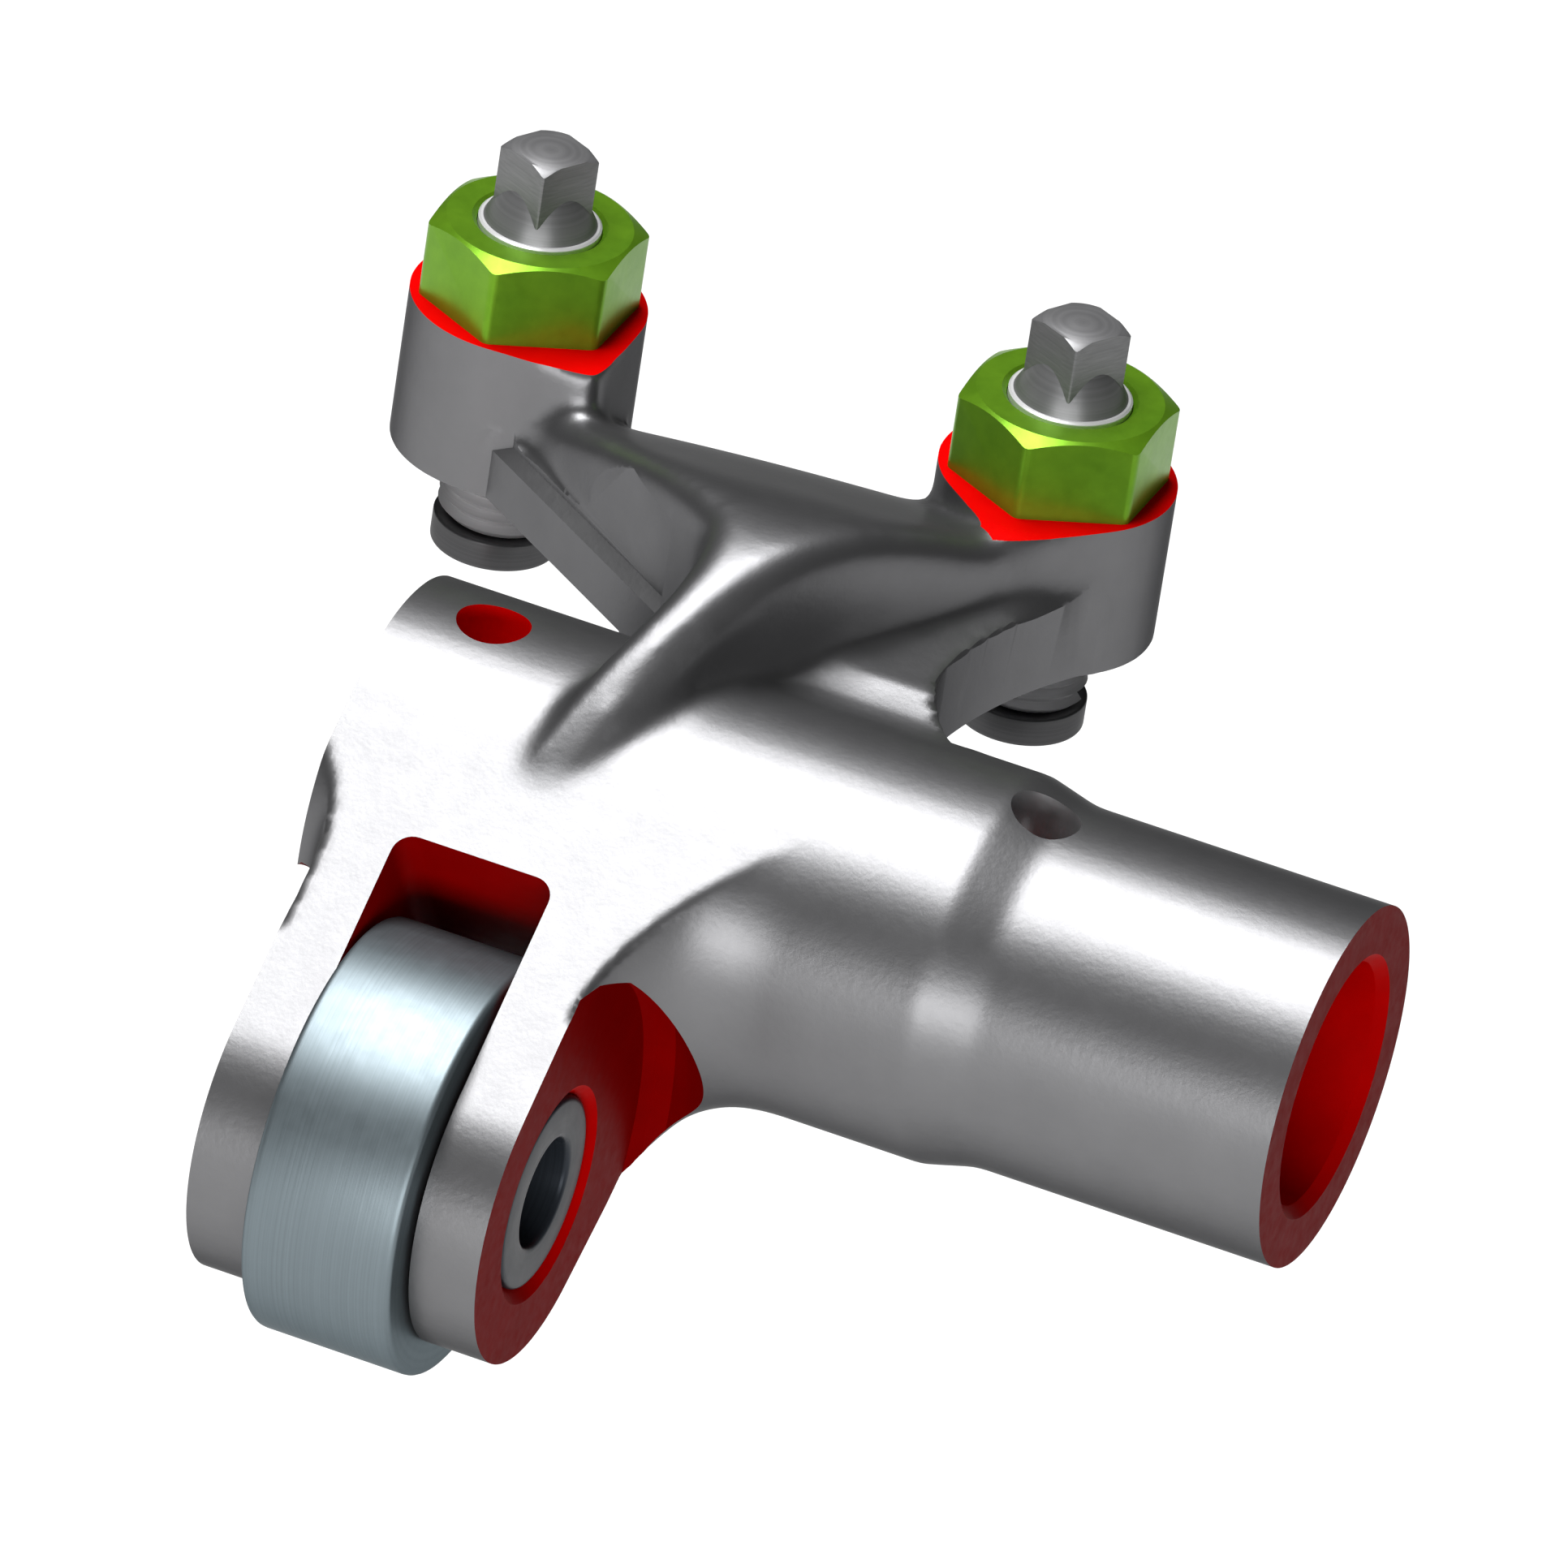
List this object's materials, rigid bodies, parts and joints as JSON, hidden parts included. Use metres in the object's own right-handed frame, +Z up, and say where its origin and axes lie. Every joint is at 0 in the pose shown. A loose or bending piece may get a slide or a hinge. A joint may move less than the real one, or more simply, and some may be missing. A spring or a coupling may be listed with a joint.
{
  "type": "rocker arm",
  "caption": "Roller rocker arm for two valves: forked arm with a needle-borne cam roller, long shaft hub and adjusting screws with lock nuts and swivel feet",
  "frame": {"origin": "on the axis of the rocker shaft bore, in the middle plane of the roller", "axes": "+X along the bore to the long end of the hub, +Y to the valve side, +Z up along the adjusting screws"},
  "size_m": [0.0693, 0.0638, 0.0483],
  "materials": {
    "forged_steel": "smooth forged skin, satin",
    "roller_steel": "ground, bright",
    "needle_steel": "ground",
    "axle_steel": "ground, dark",
    "screw_steel": "turned",
    "nut_green": "green coat, semi-gloss",
    "foot_steel": "ground"
  },
  "bodies": {
    "rocker": {"rocker_arm": "forged_steel", "roller_axle": "axle_steel"},
    "roller": {"cam_roller": "roller_steel"},
    "needles": {"needle_rollers": "needle_steel"},
    "left_foot": {"swivel_foot_left": "foot_steel"},
    "left_screw": {"adjusting_screw_left": "screw_steel"},
    "left_nut": {"lock_nut_left": "nut_green"},
    "right_foot": {"swivel_foot_right": "foot_steel"},
    "right_screw": {"adjusting_screw_right": "screw_steel"},
    "right_nut": {"lock_nut_right": "nut_green"}
  },
  "joints": [
    {"name": "roller_spin", "type": "hinge", "parent": "rocker", "child": "roller", "pos_m": [0, -0.0176, -0.0117], "axis": [1, 0, 0], "continuous": true},
    {"name": "needle_orbit", "type": "hinge", "parent": "rocker", "child": "needles", "pos_m": [0, -0.0176, -0.0117], "axis": [1, 0, 0], "continuous": true},
    {"name": "left_screw_feed", "type": "slide", "parent": "rocker", "child": "left_foot", "axis": [0, 0, 1], "range_m": [-0.0015, 0.0045]},
    {"name": "left_screw_turn", "type": "hinge", "parent": "left_foot", "child": "left_screw", "pos_m": [-0.0162, 0.0277, 0], "axis": [0, 0, 1], "range_deg": [-721, 2161]},
    {"name": "left_nut_turn", "type": "hinge", "parent": "rocker", "child": "left_nut", "pos_m": [-0.0162, 0.0277, 0.0152], "axis": [0, 0, 1], "range_deg": [0, 180]},
    {"name": "right_screw_feed", "type": "slide", "parent": "rocker", "child": "right_foot", "axis": [0, 0, 1], "range_m": [-0.0015, 0.0045]},
    {"name": "right_screw_turn", "type": "hinge", "parent": "right_foot", "child": "right_screw", "pos_m": [0.0162, 0.0277, 0], "axis": [0, 0, 1], "range_deg": [-721, 2161]},
    {"name": "right_nut_turn", "type": "hinge", "parent": "rocker", "child": "right_nut", "pos_m": [0.0162, 0.0277, 0.0152], "axis": [0, 0, 1], "range_deg": [0, 180]}
  ],
  "couplings": [
    {"joint": "needle_orbit", "follows": "roller_spin", "ratio": 0.57576},
    {"joint": "left_screw_turn", "follows": "left_screw_feed", "rad_per_m": 8377.6},
    {"joint": "right_screw_turn", "follows": "right_screw_feed", "rad_per_m": 8377.6}
  ]
}
